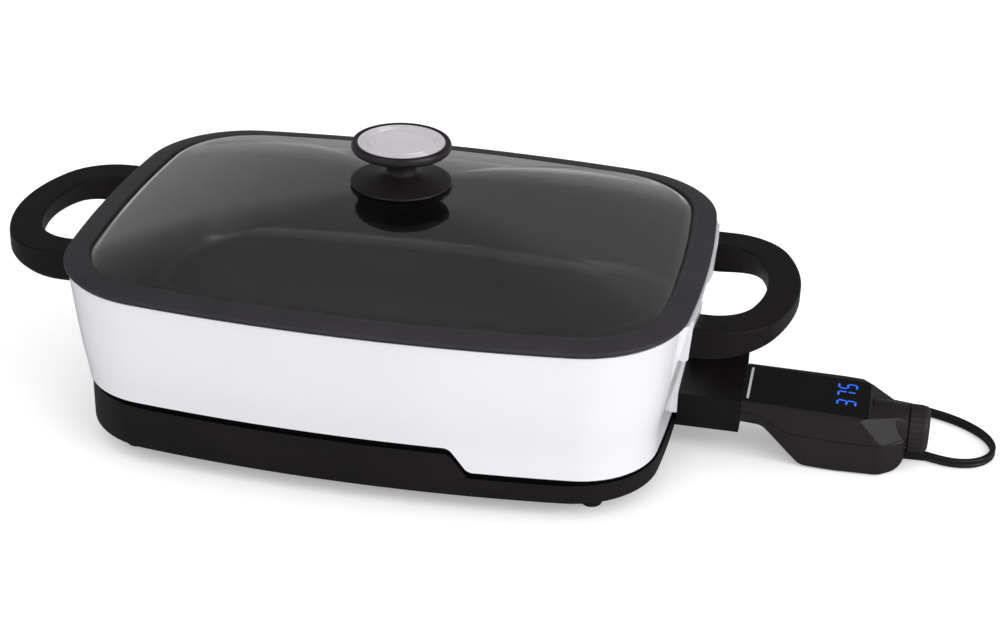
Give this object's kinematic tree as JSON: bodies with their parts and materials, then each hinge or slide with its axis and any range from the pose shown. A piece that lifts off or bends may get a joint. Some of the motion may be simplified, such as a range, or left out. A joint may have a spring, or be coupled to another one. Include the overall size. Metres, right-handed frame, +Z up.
{
  "type": "electric skillet",
  "caption": "Rectangular electric skillet with a white shell, loop handles, a domed lift-off glass lid with a central knob, and a plug-in heat control with dial, display and cord.",
  "frame": {"origin": "on the resting surface, under the middle of the skillet with its heat control plugged in (the free cord left out)", "axes": "+X along the length towards the heat control, +Y to the far long side, +Z up"},
  "size_m": [0.6593, 0.3808, 0.1862],
  "materials": {
    "white_enamel": "glossy white enamel on steel",
    "nonstick": "black non-stick coating on cast aluminium",
    "charcoal_plastic": "satin charcoal phenolic",
    "foot_rubber": "matt black rubber",
    "element_sheath": "heat-darkened steel sheath",
    "plated_steel": "bright plated steel",
    "ceramic": "unglazed ceramic",
    "lid_glass": "clear tempered glass",
    "lid_band": "satin dark grey coating",
    "silicone": "matt black silicone",
    "knob_black": "satin black phenolic",
    "silver_insert": "fine brushed silver",
    "control_plastic": "satin charcoal moulded plastic",
    "gloss_black": "polished black",
    "display": "smoked window with blue digits",
    "board_green": "solder mask",
    "relay_case": "moulded",
    "contact_brass": "bright brass",
    "probe_steel": "stainless tube",
    "cord_rubber": "matt black flexible vinyl",
    "dial_plastic": "satin charcoal moulded plastic"
  },
  "bodies": {
    "skillet": {"outer_shell": "white_enamel", "pan": "nonstick", "base": "charcoal_plastic", "feet": "foot_rubber", "left_handle": "charcoal_plastic", "right_handle": "charcoal_plastic", "control_guard": "charcoal_plastic", "heating_element": "element_sheath", "terminal_pins": "plated_steel", "pin_insulators": "ceramic", "base_screws": "plated_steel", "handle_screws": "plated_steel"},
    "lid": {"lid_glass": "lid_glass", "lid_band": "lid_band", "knob_washer": "silicone", "knob_flange": "knob_black", "knob": "knob_black", "knob_insert": "silver_insert", "knob_screw": "plated_steel", "screw_washer": "plated_steel"},
    "heat_control": {"control_cover": "control_plastic", "control_base": "control_plastic", "control_screws": "plated_steel", "gloss_panel": "gloss_black", "trim_line": "silver_insert", "display_module": "display", "circuit_board": "board_green", "relay": "relay_case", "contact_block": "control_plastic", "contact_sleeves": "contact_brass", "probe": "probe_steel", "encoder": "relay_case", "strain_relief": "cord_rubber", "cord": "cord_rubber", "cord_coil": "cord_rubber", "plug_body": "cord_rubber", "plug_blades": "contact_brass"},
    "dial": {"dial": "dial_plastic", "dial_shaft": "plated_steel"}
  },
  "joints": [
    {"name": "lid_lift", "type": "slide", "parent": "skillet", "child": "lid", "axis": [0, 0, 1], "range_m": [0, 0.15]},
    {"name": "control_unplug", "type": "slide", "parent": "skillet", "child": "heat_control", "axis": [1, 0, 0], "range_m": [0, 0.1]},
    {"name": "dial_turn", "type": "hinge", "parent": "heat_control", "child": "dial", "pos_m": [0.2938, 0, 0.023], "axis": [1, 0, 0], "continuous": true}
  ]
}
